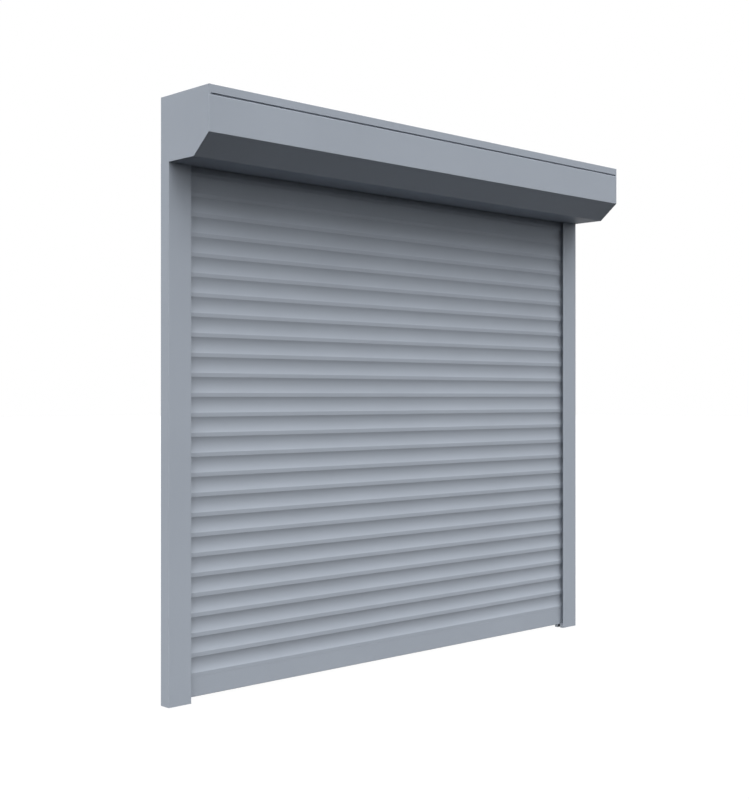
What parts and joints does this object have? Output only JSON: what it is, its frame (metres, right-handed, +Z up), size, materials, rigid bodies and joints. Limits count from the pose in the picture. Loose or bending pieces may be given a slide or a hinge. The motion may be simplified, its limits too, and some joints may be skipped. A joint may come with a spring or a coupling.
{
  "type": "exterior roller shutter",
  "caption": "Exterior roller shutter: chamfered winding box, guide rails and a lowered curtain of wide hollow-faced slats on a motor-driven octagonal shaft.",
  "frame": {"origin": "middle of the bounding box's base, where the feet of the guide rails stand", "axes": "+X along the width to the right as seen from outside, +Y towards the wall, +Z up"},
  "size_m": [2.498, 0.305, 2.3075],
  "materials": {
    "end_cap_coat": "satin blue-grey powder coat on a cast end cap",
    "box_coat": "satin blue-grey powder coat on folded sheet",
    "rail_coat": "satin blue-grey powder coat on an extruded rail",
    "slat_coat": "satin blue-grey powder coat on an extruded slat",
    "bar_coat": "satin blue-grey powder coat on the extruded bottom bar",
    "screw_coat": "screw and rivet heads, coated like the sheets",
    "zinc_steel": "bright zinc plating",
    "galvanised_tube": "hot-dip galvanised strip, rolled to an octagon",
    "spring_steel": "blued spring steel strip",
    "bearing_steel": "ground bearing steel",
    "motor_paint": "white-grey lacquered steel tube",
    "black_plastic": "moulded glass-filled polyamide",
    "guide_plastic": "moulded dark grey plastic",
    "brush_pile": "dense black polypropylene pile on a backing strip",
    "seal_rubber": "matt black EPDM",
    "hook_aluminium": "plain mill-finish aluminium"
  },
  "bodies": {
    "frame": {"left_end_cap": "end_cap_coat", "right_end_cap": "end_cap_coat", "back_panel": "box_coat", "top_panel": "box_coat", "front_cover": "box_coat", "left_guide_rail": "rail_coat", "right_guide_rail": "rail_coat", "left_rail_cover": "rail_coat", "right_rail_cover": "rail_coat", "left_brush_seals": "brush_pile", "right_brush_seals": "brush_pile", "inlet_guides": "guide_plastic", "rail_feet": "guide_plastic", "cover_screws": "screw_coat", "panel_rivets": "screw_coat", "motor_tube": "motor_paint", "motor_head": "black_plastic", "motor_bracket": "zinc_steel", "bracket_screws": "zinc_steel", "bearing_holder": "zinc_steel", "bearing_outer_ring": "bearing_steel", "cable_grommet": "seal_rubber"},
    "shaft": {"shaft_tube": "galvanised_tube", "crown_adapter": "black_plastic", "drive_wheel": "black_plastic", "motor_spindle": "bearing_steel", "idler_capsule": "black_plastic", "bearing_inner_ring": "bearing_steel", "hanger_straps": "spring_steel"},
    "ball_cage": {"bearing_balls": "bearing_steel"},
    "curtain": {"slat_01": "slat_coat", "slat_02": "slat_coat", "slat_03": "slat_coat", "slat_04": "slat_coat", "slat_05": "slat_coat", "slat_06": "slat_coat", "slat_07": "slat_coat", "slat_08": "slat_coat", "slat_09": "slat_coat", "slat_10": "slat_coat", "slat_11": "slat_coat", "slat_12": "slat_coat", "slat_13": "slat_coat", "slat_14": "slat_coat", "slat_15": "slat_coat", "slat_16": "slat_coat", "slat_17": "slat_coat", "slat_18": "slat_coat", "slat_19": "slat_coat", "slat_20": "slat_coat", "slat_21": "slat_coat", "slat_22": "slat_coat", "slat_23": "slat_coat", "slat_24": "slat_coat", "slat_25": "slat_coat", "slat_26": "slat_coat", "slat_end_locks": "guide_plastic", "bottom_bar": "bar_coat", "bottom_seal": "seal_rubber", "hanger_hooks": "hook_aluminium"}
  },
  "joints": [
    {"name": "curtain_lift", "type": "slide", "parent": "frame", "child": "curtain", "axis": [0, 0, 1], "range_m": [-0.018, 0.17]},
    {"name": "shaft_turn", "type": "hinge", "parent": "frame", "child": "shaft", "pos_m": [0, 0.0305, 2.1815], "axis": [1, 0, 0], "range_deg": [-24, 217], "deforming": ["hanger_straps"]},
    {"name": "ball_set_turn", "type": "hinge", "parent": "frame", "child": "ball_cage", "pos_m": [0, 0.0305, 2.1815], "axis": [1, 0, 0], "range_deg": [-10, 88]}
  ],
  "couplings": [
    {"joint": "shaft_turn", "follows": "curtain_lift", "rad_per_m": 22.222},
    {"joint": "ball_set_turn", "follows": "curtain_lift", "rad_per_m": 8.9556}
  ]
}
